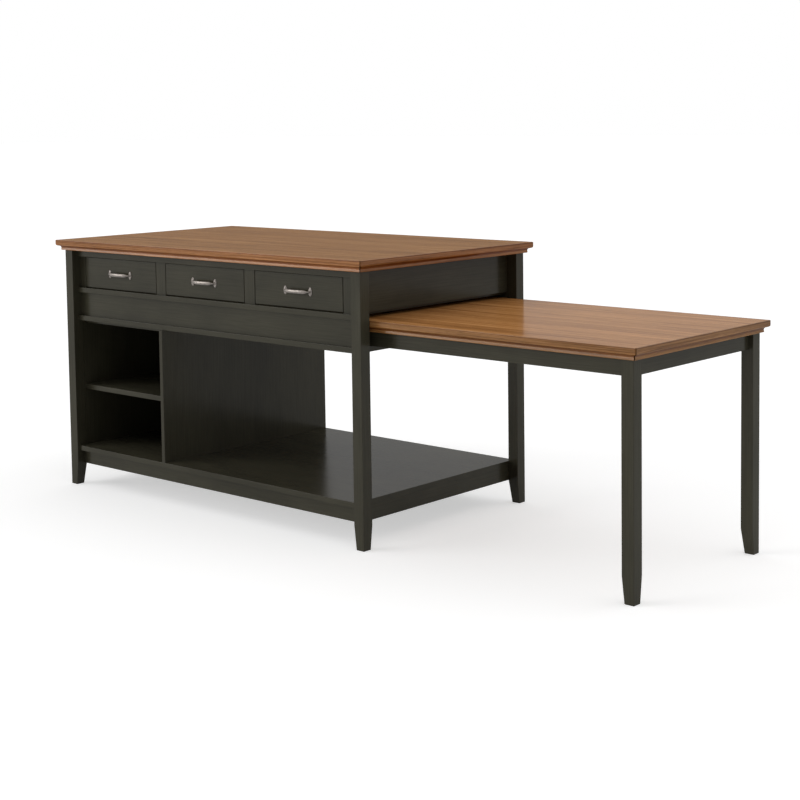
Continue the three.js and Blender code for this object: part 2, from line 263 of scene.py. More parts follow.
def middle(part):
    """The middle of a vertex, an edge or a face."""
    corners = part.verts if hasattr(part, "verts") else [part]
    return sum((v.co for v in corners), Vector()) / len(corners)


def pick(kind, test):
    """Selects the vertices, edges or faces that pass the test, and nothing else."""
    mesh = bmesh.from_edit_mesh(bpy.context.object.data)
    parts = {"VERT": mesh.verts, "EDGE": mesh.edges, "FACE": mesh.faces}[kind]
    for part in parts:
        part.select_set(False)
    for part in parts:
        if test(part):
            part.select_set(True)
    mesh.select_flush_mode()
    bmesh.update_edit_mesh(bpy.context.object.data)


def extrude(step):
    """Extrudes what is selected and moves its new end by a step."""
    bpy.ops.mesh.extrude_region_move(TRANSFORM_OT_translate={"value": step})


def runs_along(edge, axis):
    """Whether an edge is parallel to an axis, given as a number."""
    span = edge.verts[1].co - edge.verts[0].co
    return span.length > 0 and abs(span[axis]) > 0.999 * span.length


def ease_edges(piece, width, test, segments=3):
    """Rounds the edges that pass the test."""
    with editing(piece, "EDGE"):
        pick("EDGE", test)
        bpy.ops.mesh.bevel(
            offset=width,
            offset_type="OFFSET",
            segments=segments,
            profile=0.5,
            affect="EDGES",
        )


def ease_along(piece, width, axes, segments=3):
    """Rounds a board's edges that run along the axes, given as letters."""
    wanted = ["XYZ".index(letter) for letter in axes]

    def eased(edge):
        return any(runs_along(edge, axis) for axis in wanted)

    ease_edges(piece, width, eased, segments)


def cut_away(piece, place, direction):
    """Cuts a piece at a plane and drops the side that the direction points to."""
    with editing(piece, "VERT", everything=True):
        bpy.ops.mesh.bisect(
            plane_co=place,
            plane_no=direction,
            use_fill=True,
            clear_outer=True,
            threshold=DOUBLE,
        )


def finish_piece(piece, material, body, nodes, angle):
    """Smooths, paints and hands over a modelled piece."""
    select_only(piece)
    bpy.ops.object.shade_smooth_by_angle(angle=math.radians(angle))
    bpy.ops.object.modifier_add(type="WEIGHTED_NORMAL")
    piece.modifiers[-1].keep_sharp = True
    bpy.ops.object.modifier_apply(modifier=piece.modifiers[-1].name)
    piece.data.materials.clear()
    piece.data.materials.append(material)
    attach(piece, body)
    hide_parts(*nodes)


# ---- Materials ----

WOOD_RELIEF = 0.08 * MM
PAINT_RELIEF = 0.06 * MM
FIBRE_RELIEF = 0.10 * MM
BRUSHED_RELIEF = 0.01 * MM


class Shader:
    """A new material and short ways to add nodes to it."""

    def __init__(self, name):
        self.material = bpy.data.materials.new(name)
        self.material.use_nodes = True
        self.tree = self.material.node_tree
        self.surface = next(n for n in self.tree.nodes if n.type == "BSDF_PRINCIPLED")

    def add(self, kind, inputs=None, **settings):
        """A new node with its settings, and its inputs as values or linked sockets."""
        node = self.tree.nodes.new(kind)
        for key, value in settings.items():
            setattr(node, key, value)
        for key, value in (inputs or {}).items():
            self.feed(node.inputs[key], value)
        return node

    def feed(self, socket, value):
        """Links another socket to this one, or gives it a plain value."""
        if isinstance(value, bpy.types.NodeSocket):
            self.tree.links.new(value, socket)
        else:
            socket.default_value = value

    def set(self, **values):
        """Feeds the surface's inputs, with underscores for the spaces in their names."""
        for key, value in values.items():
            self.feed(self.surface.inputs[key.replace("_", " ")], value)

    def grain_space(self, grain):
        """Object coordinates turned so that the grain runs along X."""
        turns = {
            "X": (0, 0, 0),
            "Y": (0, 0, -math.pi / 2),
            "Z": (0, math.pi / 2, 0),
        }
        where = self.add("ShaderNodeTexCoord").outputs["Object"]
        return self.add(
            "ShaderNodeMapping", {"Vector": where, "Rotation": turns[grain]}
        ).outputs["Vector"]

    def streaks(self, space, along, across, detail, roughness=0.5, distortion=0.0):
        """Noise with so many features in a metre along and across the grain."""
        stretched = self.add(
            "ShaderNodeMapping", {"Vector": space, "Scale": (along, across, across)}
        ).outputs["Vector"]
        return self.add(
            "ShaderNodeTexNoise",
            {
                "Vector": stretched,
                "Scale": 1.0,
                "Detail": detail,
                "Roughness": roughness,
                "Distortion": distortion,
            },
        ).outputs["Fac"]

    def ramp(self, value, stops):
        """Tones that follow a value, each at its place from 0 to 1."""
        node = self.add("ShaderNodeValToRGB", {"Fac": value})
        elements = node.color_ramp.elements
        while len(elements) < len(stops):
            elements.new(0.5)
        for element, (place, tone) in zip(elements, stops):
            element.position = place
            element.color = (*tone, 1.0)
        return node.outputs["Color"]

    def spread(self, value, low, high, to_low, to_high):
        """A value's range from low to high moved to another, and cut off outside."""
        return self.add(
            "ShaderNodeMapRange",
            {
                "Value": value,
                "From Min": low,
                "From Max": high,
                "To Min": to_low,
                "To Max": to_high,
            },
        ).outputs["Result"]

    def mixed(self, factor, first, second, blend="MIX"):
        """Two colours or values mixed; the node's colour sockets go by number."""
        node = self.add("ShaderNodeMix", data_type="RGBA", blend_type=blend)
        for socket, value in ((0, factor), (6, first), (7, second)):
            self.feed(node.inputs[socket], value)
        return node.outputs[2]

    def bumped(self, height, distance):
        return self.add(
            "ShaderNodeBump", {"Height": height, "Distance": distance}
        ).outputs["Normal"]

    def between_heights(self, low, high, fade):
        """1 between two heights, with a fade just over each of them."""
        where = self.add("ShaderNodeTexCoord").outputs["Object"]
        height = self.add("ShaderNodeSeparateXYZ", {"Vector": where}).outputs["Z"]
        over = self.spread(height, low, low + fade, 0.0, 1.0)
        under = self.spread(height, high, high + fade, 1.0, 0.0)
        return self.add(
            "ShaderNodeMath", {0: over, 1: under}, operation="MULTIPLY"
        ).outputs["Value"]


def grey(level):
    return (level, level, level)


def tinted(tone, stain):
    """A tone with its red, green and blue each multiplied by the stain's."""
    return [level * factor for level, factor in zip(tone, stain)]


def hollow_shade_and_line_mask(shader, top, part):
    """1 in a moulding's hollow, for painted shade, and for a band in a darker line under
    its upper edge.
    """
    sizes = bpy.context.scene.island_sizes
    if part == "moulding":
        low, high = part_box(top + "_moulding_front")
        foot = low.z + sizes.moulding_foot + sizes.fascia
        return shader.between_heights(foot, high.z - sizes.arris, fade=2 * MM)
    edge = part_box(top + "_board")[1].z - sizes.top_ease
    return shader.between_heights(edge - sizes.settled_line, edge, fade=0.3 * MM)


def stained_wood(top, part, grain):
    """Varnished wood: bands of tone, long streaks, light threads and dark pores."""
    looks = bpy.context.scene.island_finishes
    finish = top if part == "panel" else part
    stain = getattr(looks, finish + "_tint")
    if top == "table" and part != "panel":
        stain = tinted(stain, looks.table_edge_tint)
    tones = (looks.wood_dark, looks.wood_middle, looks.wood_light)
    dark, medium, light = (tinted(tone, stain) for tone in tones)
    shader = Shader(f"{top}_{part}_along_{grain.lower()}")
    space = shader.grain_space(grain)
    figure = shader.streaks(space, along=0.8, across=22, detail=3, distortion=0.5)
    streaks = shader.streaks(
        space, along=2.6, across=210, detail=6, roughness=0.68, distortion=0.15
    )
    threads = shader.streaks(space, along=4.5, across=330, detail=2)
    pores = shader.streaks(space, along=26, across=900, detail=2)
    base = shader.ramp(
        shader.mixed(0.30, streaks, figure),
        ((0.36, dark), (0.50, medium), (0.64, light)),
    )
    thread_share = shader.spread(threads, 0.60, 0.74, 0.0, 0.75)
    base = shader.mixed(thread_share, base, (*light, 1.0))
    pore_tone = shader.ramp(pores, ((0.34, grey(0.66)), (0.46, grey(1.0))))
    base = shader.mixed(1.0, base, pore_tone, "MULTIPLY")
    # Painted shade in a moulding's hollow; on a band, a darker line under its upper edge.
    if part != "panel":
        darkened = hollow_shade_and_line_mask(shader, top, part)
        base = shader.mixed(darkened, base, (*looks.hollow_tint, 1.0), "MULTIPLY")
    rough, smooth = looks.wood_gloss + 0.08, looks.wood_gloss - 0.05
    shader.set(
        Base_Color=base,
        Roughness=shader.spread(streaks, 0.3, 0.7, rough, smooth),
        Specular_IOR_Level=0.0,
        Coat_Weight=getattr(looks, finish + "_varnish"),
        Coat_Roughness=looks.varnish_gloss,
        Normal=shader.bumped(shader.mixed(0.5, streaks, pores), WOOD_RELIEF),
    )
    return shader.material


def black_paint(grain):
    """Near-black satin paint that the wood's grain shows through a little."""
    looks = bpy.context.scene.island_finishes
    shader = Shader("black_paint_along_" + grain.lower())
    space = shader.grain_space(grain)
    cloud = shader.streaks(space, along=4, across=9, detail=3)
    grain_lines = shader.streaks(space, along=7, across=420, detail=4, roughness=0.55)
    peel = shader.streaks(space, along=700, across=700, detail=1)
    thin = tinted(looks.paint, grey(1.16))
    thick = tinted(looks.paint, grey(0.88))
    base = shader.ramp(cloud, ((0.35, thick), (0.68, thin)))
    grain_tone = shader.ramp(grain_lines, ((0.38, grey(0.86)), (0.60, grey(1.04))))
    relief = shader.bumped(shader.mixed(0.35, grain_lines, peel), PAINT_RELIEF)
    shader.set(
        Base_Color=shader.mixed(1.0, base, grain_tone, "MULTIPLY"),
        Roughness=shader.spread(cloud, 0.3, 0.7, 0.55, 0.65),
        Specular_IOR_Level=0.0,
        Coat_Weight=looks.paint_sheen,
        Coat_Roughness=looks.paint_gloss,
        Coat_Normal=relief,
        Normal=relief,
    )
    return shader.material


def bare_wood(grain):
    """Unfinished pale wood for what lies inside."""
    looks = bpy.context.scene.island_finishes
    shader = Shader("bare_wood_along_" + grain.lower())
    space = shader.grain_space(grain)
    rings = shader.streaks(space, along=1.6, across=55, detail=4, distortion=0.8)
    fibres = shader.streaks(space, along=14, across=520, detail=3)
    base = shader.ramp(rings, ((0.36, looks.bare_dark), (0.58, looks.bare_light)))
    fibre_tone = shader.ramp(fibres, ((0.35, grey(0.84)), (0.55, grey(1.0))))
    shader.set(
        Base_Color=shader.mixed(1.0, base, fibre_tone, "MULTIPLY"),
        Roughness=shader.spread(fibres, 0.3, 0.7, 0.72, 0.60),
        Normal=shader.bumped(fibres, FIBRE_RELIEF),
    )
    return shader.material


def pewter():
    """Cast metal, brushed a little and duller in random patches."""
    looks = bpy.context.scene.island_finishes
    shader = Shader("pewter")
    space = shader.grain_space("X")
    cloud = shader.streaks(space, along=160, across=160, detail=3)
    brushed = shader.streaks(space, along=90, across=2400, detail=2)
    dull = tinted(looks.pewter, grey(0.72))
    rough, smooth = looks.pewter_gloss + 0.07, looks.pewter_gloss - 0.04
    shader.set(
        Base_Color=shader.ramp(cloud, ((0.36, dull), (0.60, looks.pewter))),
        Metallic=1.0,
        Roughness=shader.spread(cloud, 0.3, 0.7, rough, smooth),
        Normal=shader.bumped(brushed, BRUSHED_RELIEF),
    )
    return shader.material


MAKERS = {"black_paint": black_paint, "bare_wood": bare_wood, "pewter": pewter}
STAINED_PARTS = ("panel", "band", "moulding")
made_materials = {}


def material_for(slot, name, grain):
    """One material for each finish and grain, and for each part of the stained wood."""
    if slot == "stained_wood":
        part = next(part for part in STAINED_PARTS if part in name)
        key = (stained_wood, name.split("_")[0], part, grain)
    else:
        key = (MAKERS[slot], grain) if grain else (MAKERS[slot],)
    if key not in made_materials:
        made_materials[key] = key[0](*key[1:])
    return made_materials[key]


def hand_over(piece, slot, grain, node, angle=40):
    body = frame["nodes"][node]["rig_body"]
    material = material_for(slot, piece.name, grain)
    finish_piece(piece, material, body, [node], angle)


# ---- Plain boards ----

# Each board's node, the direction of its grain, and the directions of its eased edges.
PAINTED_BOARDS = (
    ("front_top_rail", "X", "X"),
    ("front_middle_rail", "X", "X"),
    ("front_bottom_rail", "X", "X"),
    ("front_stile_left", "Z", "Z"),
    ("front_stile_right", "Z", "Z"),
    ("front_mullion_1", "Z", "Z"),
    ("front_mullion_2", "Z", "Z"),
    ("front_apron_panel", "X", ""),
    ("back_top_rail", "X", "X"),
    ("back_bottom_rail", "X", "X"),
    ("back_panel", "X", ""),
    ("left_side_panel", "Z", "Y"),
    ("right_end_panel", "Y", "Y"),
    ("table_slot_rail", "Y", "Y"),
    ("dust_panel", "X", ""),
)
SHELF_BOARDS = (
    ("lower_shelf", "X", "X"),
    ("lower_apron_front", "X", "X"),
    ("lower_apron_back", "X", "X"),
    ("lower_apron_right", "Y", "Y"),
    ("divider", "Z", "Z"),
    ("middle_shelf", "X", "X"),
    ("cubby_back", "X", ""),
    ("cubby_top", "X", "X"),
)
TABLE_BOARDS = (
    ("table_apron_front", "X", "X"),
    ("table_apron_back", "X", "X"),
    ("table_apron_end", "Y", "Y"),
)
INNER_BOARDS = (
    ("table_runner_front", "X", "X"),
    ("table_runner_back", "X", "X"),
    ("drawer_guide_left", "Y", "Y"),
    ("drawer_guide_middle", "Y", "Y"),
    ("drawer_guide_right", "Y", "Y"),
    ("table_inner_rail", "Y", "Y"),
)


def plain_boards(rows, slot):
    ease = bpy.context.scene.island_sizes.board_ease
    for node, grain, eased in rows:
        piece = add_block(node + "_board", *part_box(node))
        if eased:
            ease_along(piece, ease, eased)
        hand_over(piece, slot, grain, node)


class ISLAND_OT_frame(bpy.types.Operator):
    """Make the painted rails, stiles, panels, shelves and aprons"""

    bl_idname = "island.frame"
    bl_label = "Frame"

    def execute(self, context):
        plain_boards(PAINTED_BOARDS, "black_paint")
        plain_boards(SHELF_BOARDS, "black_paint")
        plain_boards(TABLE_BOARDS, "black_paint")
        return {"FINISHED"}


class ISLAND_OT_inner_boards(bpy.types.Operator):
    """Make the bare boards that the drawers and the table run on"""

    bl_idname = "island.inner_boards"
    bl_label = "Inner boards"

    def execute(self, context):
        plain_boards(INNER_BOARDS, "bare_wood")
        self.stop_rail(context.scene.island_sizes.board_ease)
        return {"FINISHED"}

    def stop_rail(self, ease):
        """A rail with a lug under its middle, from a copy of the frame's solid."""
        node = "table_stop_rail"
        deselect_all()
        piece = frame["nodes"][node].copy()
        piece.data = piece.data.copy()
        piece.name = piece.data.name = node + "_board"
        bpy.context.scene.collection.objects.link(piece)
        with editing(piece, "EDGE", everything=True):
            bpy.ops.mesh.remove_doubles(threshold=DOUBLE)
            bpy.ops.mesh.dissolve_limited(angle_limit=math.radians(1))
        ease_along(piece, ease, "XYZ")
        hand_over(piece, "bare_wood", "Y", node)


# ---- Legs ----

# Each leg's node with the x and y directions of its two tapered sides.
LEGS = (
    ("leg_front_left", 1, 1),
    ("leg_front_right", -1, 1),
    ("leg_back_right", -1, -1),
    ("leg_back_left", 1, -1),
    ("table_leg_front", -1, 1),
    ("table_leg_back", -1, -1),
)


class ISLAND_OT_legs(bpy.types.Operator):
    """Make the square legs, drawn in at the foot on their two inner sides"""

    bl_idname = "island.legs"
    bl_label = "Legs"

    def execute(self, context):
        for node, inward_x, inward_y in LEGS:
            self.leg(context.scene.island_sizes, node, inward_x, inward_y)
        return {"FINISHED"}

    def leg(self, sizes, node, inward_x, inward_y):
        low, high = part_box(node)
        centre = (low + high) / 2

        def on_floor(vertex):
            return vertex.co.z < low.z + NEAR

        def upright(edge):
            return abs(edge.verts[1].co.z - edge.verts[0].co.z) > 2 * sizes.foot_bevel

        def under(edge):
            return all(on_floor(vertex) for vertex in edge.verts)

        piece = add_block(node + "_post", low, high)
        draw_in = high.x - low.x - sizes.foot
        with editing(piece, "VERT", everything=True):
            bpy.ops.mesh.bisect(plane_co=(0, 0, sizes.leg_taper), plane_no=(0, 0, 1))
            pick("VERT", lambda v: on_floor(v) and (v.co.x - centre.x) * inward_x > 0)
            bpy.ops.transform.translate(value=(-inward_x * draw_in, 0, 0))
            pick("VERT", lambda v: on_floor(v) and (v.co.y - centre.y) * inward_y > 0)
            bpy.ops.transform.translate(value=(0, -inward_y * draw_in, 0))
        ease_edges(piece, sizes.leg_ease, upright)
        ease_edges(piece, sizes.foot_bevel, under, segments=2)
        hand_over(piece, "black_paint", "Z", node, angle=30)


# ---- Worktop and table top ----

# Each side of a top: how many quarter turns its strips are turned from the front one.
SIDES = {"front": 0, "right": 1, "end": 1, "back": 2, "left": 3}
TOPS = (
    ("worktop", ("front", "right", "back", "left")),
    ("table", ("front", "end", "back")),
)


def axis_of(side):
    """0 where a side's strip runs along X, and 1 where it runs along Y."""
    return SIDES[side] % 2


def corner_of(side, low, high):
    """Where a side's strip starts: the corner on its left, seen from outside."""
    corners = ((low.x, low.y), (high.x, low.y), (high.x, high.y), (low.x, high.y))
    return corners[SIDES[side]]


def lay_strip(piece, side, sides, low, high, gap):
    """Mitres a strip that lies along +x from the origin, and turns it to its side.

    Each mitred end, where another strip meets it, stops short of the corner by the gap."""
    run = (high - low)[axis_of(side)]
    turns = [SIDES[other] for other in sides]
    if (SIDES[side] - 1) % 4 in turns:
        cut_away(piece, (gap, 0, 0), (-1, 1, 0))
    if (SIDES[side] + 1) % 4 in turns:
        cut_away(piece, (run - gap, 0, 0), (1, 1, 0))
    piece.rotation_euler.z = SIDES[side] * math.pi / 2
    piece.location = (*corner_of(side, low, high), low.z)
    select_only(piece)
    bpy.ops.object.transform_apply(location=True, rotation=True, scale=True)


class ISLAND_OT_tops(bpy.types.Operator):
    """Make the two tops: a wide panel with a mitred solid band round it"""

    bl_idname = "island.tops"
    bl_label = "Tops"

    def execute(self, context):
        sizes = context.scene.island_sizes
        for top, sides in TOPS:
            low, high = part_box(top + "_board")
            self.panel(sizes, top, sides, low, high)
            for side in sides:
                self.band(sizes, top, side, sides, low, high)
        return {"FINISHED"}

    def panel(self, sizes, top, sides, low, high):
        left = sizes.band if "left" in sides else 0
        inner_low = low + Vector((left, sizes.band, 0))
        inner_high = high - Vector((sizes.band, sizes.band, 0))
        piece = add_block(top + "_panel", inner_low, inner_high)
        on_top = lambda edge: middle(edge).z > high.z - NEAR
        ease_edges(piece, sizes.seam / 4, on_top, segments=1)
        hand_over(piece, "stained_wood", "X", top + "_board")

    def band(self, sizes, top, side, sides, low, high):
        def outer(edge):
            return runs_along(edge, 0) and middle(edge).y < NEAR

        def upper(edge):
            return outer(edge) and middle(edge).z > NEAR

        def lower(edge):
            return outer(edge) and middle(edge).z < NEAR

        run = (high - low)[axis_of(side)]
        end = (run, sizes.band, high.z - low.z)
        piece = add_block(top + "_band_" + side, (0, 0, 0), end)
        ease_edges(piece, sizes.top_ease, upper)
        ease_edges(piece, sizes.seam, lower, segments=2)
        lay_strip(piece, side, sides, low, high, sizes.mitre_gap)
        hand_over(piece, "stained_wood", "XY"[axis_of(side)], top + "_board")


class ISLAND_OT_mouldings(bpy.types.Operator):
    """Make the mitred mouldings under the edges of the two tops"""

    bl_idname = "island.mouldings"
    bl_label = "Mouldings"

    def execute(self, context):
        for top, sides in TOPS:
            for side in sides:
                self.moulding(context.scene.island_sizes, top, side, sides)
        return {"FINISHED"}

    def moulding(self, sizes, top, side, sides):
        node = top + "_moulding_" + side
        low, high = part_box(node)
        run = (high - low)[axis_of(side)]
        width = (high - low)[1 - axis_of(side)]
        piece = self.outline(sizes, node + "_strip", width, high.z - low.z)
        with editing(piece, "VERT", everything=True):
            extrude((run, 0, 0))
            bpy.ops.mesh.select_all(action="SELECT")
            bpy.ops.mesh.normals_make_consistent(inside=False)
        lay_strip(piece, side, sides, low, high, sizes.mitre_gap)
        hand_over(piece, "stained_wood", "XY"[axis_of(side)], node, angle=25)

    def outline(self, sizes, name, width, height):
        """The moulding's section as a face on x = 0, drawn from its top outer corner.

        y runs in from the top's edge and z up from the moulding's foot."""
        deselect_all()
        bpy.ops.mesh.primitive_plane_add(size=sizes.seam, location=(0, 0, 0))
        piece = new_piece(name)
        with editing(piece, "VERT", everything=True):
            bpy.ops.mesh.merge(type="CENTER")
            pen = Pen(Vector((0, sizes.seam, height)))
            pen.turn(Vector((0, sizes.seam, height - sizes.seam)), steps=2)
            pen.turn(Vector((0, sizes.arris, pen.place.z)), steps=6)
            pen.go_to(sizes.cove_start, height - sizes.arris - sizes.cove_drop)
            pen.hollow(sizes.cove_width, sizes.cove_height, steps=12)
            pen.go(-sizes.fascia_lean, -sizes.fascia)
            pen.turn(pen.place + Vector((0, sizes.moulding_foot, 0)), steps=4)
            pen.go_to(width, 0)
            pen.go_to(width, height)
            bpy.ops.mesh.select_all(action="SELECT")
            bpy.ops.mesh.remove_doubles(threshold=DOUBLE)
            bpy.ops.mesh.edge_face_add()
        return piece


class Pen:
    """Draws an outline on x = 0 by extruding and spinning the selected vertex."""

    def __init__(self, start):
        self.place = start
        bpy.ops.transform.translate(value=start)

    def go(self, inward, up):
        step = Vector((0, inward, up))
        extrude(step)
        self.place = self.place + step

    def go_to(self, y, z):
        self.go(y - self.place.y, z - self.place.z)

    def hollow(self, width, height, steps):
        """A quarter of an ellipse, inward and down, level at first and then upright."""
        start = self.place.copy()
        for step in range(1, steps + 1):
            angle = math.pi / 2 * step / steps
            drop = height * (1 - math.cos(angle))
            self.go_to(start.y + width * math.sin(angle), start.z - drop)

    def turn(self, centre, steps):
        """A quarter turn round a centre, anticlockwise where y runs right and z up."""
        angle = math.pi / 2
        bpy.ops.mesh.spin(
            steps=steps,
            angle=-angle,
            use_auto_merge=False,
            center=centre,
            axis=(1, 0, 0),
        )
        self.place = centre + Matrix.Rotation(angle, 3, "X") @ (self.place - centre)


# ---- Drawers ----


class ISLAND_OT_drawer_fronts(bpy.types.Operator):
    """Make the three drawer fronts"""

    bl_idname = "island.drawer_fronts"
    bl_label = "Drawer fronts"

    def execute(self, context):
        for name in DRAWERS:
            node = f"drawer_{name}_front"
            piece = add_block(node + "_board", *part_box(node))
            ease_along(piece, context.scene.island_sizes.front_ease, "XYZ")
            hand_over(piece, "black_paint", "X", node)
        return {"FINISHED"}


class ISLAND_OT_drawer_boxes(bpy.types.Operator):
    """Make the walls and the bottom of each drawer"""

    bl_idname = "island.drawer_boxes"
    bl_label = "Drawer boxes"

    def execute(self, context):
        for name in DRAWERS:
            self.box(context.scene.island_sizes, name)
        return {"FINISHED"}

    def box(self, sizes, name):
        node = f"drawer_{name}_box"
        low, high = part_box(node)
        bottom_low, bottom_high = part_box(f"drawer_{name}_bottom")
        wall = sizes.drawer_wall
        left, right = low.x + wall, high.x - wall
        walls = (
            ("side_left", "Y", low, (left, high.y, high.z)),
            ("side_right", "Y", (right, low.y, low.z), high),
            ("inner_front", "X", (left, low.y, low.z), (right, low.y + wall, high.z)),
            ("back", "X", (left, high.y - wall, bottom_high.z), (right, high.y, high.z)),
        )
        for part, grain, start, end in walls:
            piece = add_block(f"{node}_{part}", start, end)
            along_top = lambda edge: (
                runs_along(edge, "XY".index(grain)) and middle(edge).z > high.z - NEAR
            )
            ease_edges(piece, sizes.board_ease, along_top)
            hand_over(piece, "bare_wood", grain, node)
        piece = add_block(f"drawer_{name}_bottom_board", bottom_low, bottom_high)
        ease_along(piece, sizes.seam, "X", 1)
        hand_over(piece, "bare_wood", "X", f"drawer_{name}_bottom")


class ISLAND_OT_pulls(bpy.types.Operator):
    """Make the pulls: two oval plates and a bowed grip that is broad in its middle"""

    bl_idname = "island.pulls"
    bl_label = "Pulls"

    RINGS = 28
    # The grip broadens while its bow rises from one share of its height to the other.
    BROAD_FROM = 0.40
    BROAD_AT = 0.72
    # A plate's rim: its share of the thickness, and its width round the raised middle.
    RIM_SHARE = 0.45
    RIM_WIDTH = 1.3 * MM
    DOME = (0.72, 1, 0.84)
    PLATE_EASE = 0.4 * MM
    COLLAR_DEPTH = 2.0 * MM
    COLLAR_EASE = 0.9 * MM

    def execute(self, context):
        for name in DRAWERS:
            self.pull(context.scene.island_sizes, f"drawer_{name}_pull")
        return {"FINISHED"}

    def pull(self, sizes, node):
        low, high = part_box(node)
        centre = Vector(((low.x + high.x) / 2, high.y, (low.z + high.z) / 2))
        plate_half = Vector((sizes.plate_width / 2, 0, (high.z - low.z) / 2))
        half_span = (high.x - low.x) / 2 - plate_half.x
        reach = high.y - low.y
        for side, word in ((-1, "left"), (1, "right")):
            seat = centre + Vector((side * half_span, 0, 0))
            self.plate(sizes, f"{node}_plate_{word}", node, seat, plate_half)
            self.collar(sizes, f"{node}_collar_{word}", node, seat)
        self.grip(sizes, f"{node}_grip", node, centre, half_span, reach)

    def disc(self, name, seat, radii, depth, vertices=32):
        """An upright oval disc that stands out of the drawer front from its seat."""
        deselect_all()
        bpy.ops.mesh.primitive_cylinder_add(
            vertices=vertices,
            radius=1,
            depth=1,
            location=seat - Vector((0, depth / 2, 0)),
            rotation=(math.pi / 2, 0, 0),
        )
        bpy.context.object.scale = (radii[0], radii[1], depth)
        return new_piece(name)

    def plate(self, sizes, name, node, seat, half):
        """An oval plate with an upright rim and a raised middle."""

        def crisp(edge):
            on_front = any(vertex.co.y < seat.y - NEAR for vertex in edge.verts)
            return on_front and edge.calc_face_angle(0) > math.radians(25)

        depth = sizes.plate_thickness
        rim = depth * self.RIM_SHARE
        piece = self.disc(name, seat, (half.x, half.z), rim)
        with editing(piece, "FACE"):
            pick("FACE", lambda face: face.normal.y < -0.9)
            bpy.ops.mesh.inset(thickness=self.RIM_WIDTH)
            extrude((0, rim - depth, 0))
            bpy.ops.transform.resize(value=self.DOME)
        ease_edges(piece, self.PLATE_EASE, crisp)
        hand_over(piece, "pewter", "", node)

    def collar(self, sizes, name, node, seat):
        """The bead where the grip meets its plate."""
        radius = sizes.collar / 2
        seat = seat - Vector((0, sizes.plate_thickness, 0))
        piece = self.disc(name, seat, (radius, radius), self.COLLAR_DEPTH, vertices=24)
        rim = lambda edge: edge.calc_face_angle(0) > math.radians(45)
        ease_edges(piece, self.COLLAR_EASE, rim, segments=4)
        hand_over(piece, "pewter", "", node)

    def station(self, sizes, centre, half_span, reach, angle):
        """The grip's middle, its direction and its half height at an angle."""
        seat = sizes.plate_thickness / 2
        rise_by = reach - sizes.grip_neck / 2 - seat
        along, rise = -math.cos(angle), math.sin(angle)
        place = centre + Vector((along * half_span, -seat - rise_by * rise, 0))
        heading = math.atan2(-rise_by * math.cos(angle), half_span * math.sin(angle))
        broad = (rise - self.BROAD_FROM) / (self.BROAD_AT - self.BROAD_FROM)
        broad = min(max(broad, 0), 1)
        broad = broad * broad * (3 - 2 * broad)
        half = sizes.grip_neck / 2
        return place, heading, half + (sizes.grip_height / 2 - half) * broad

    def grip(self, sizes, name, node, centre, half_span, reach):
        """A round bar extruded ring by ring along half an ellipse, and broadened."""
        angles = [math.pi * ring / self.RINGS for ring in range(self.RINGS + 1)]
        stations = [
            self.station(sizes, centre, half_span, reach, angle) for angle in angles
        ]
        place, heading, half = stations[0]
        deselect_all()
        bpy.ops.mesh.primitive_circle_add(
            vertices=20,
            radius=half,
            fill_type="NGON",
            location=place,
            rotation=(math.pi / 2, 0, math.pi / 2 + heading),
        )
        piece = new_piece(name)
        with editing(piece, "FACE", everything=True):
            for next_place, next_heading, next_half in stations[1:]:
                extrude(next_place - place)
                bpy.ops.transform.rotate(
                    value=heading - next_heading,
                    orient_axis="Z",
                    center_override=next_place,
                )
                bpy.ops.transform.resize(
                    value=(1, 1, next_half / half), center_override=next_place
                )
                place, heading, half = next_place, next_heading, next_half
            bpy.ops.mesh.select_all(action="SELECT")
            bpy.ops.mesh.normals_make_consistent(inside=False)
        hand_over(piece, "pewter", "", node, angle=60)


# ---- The stage ----


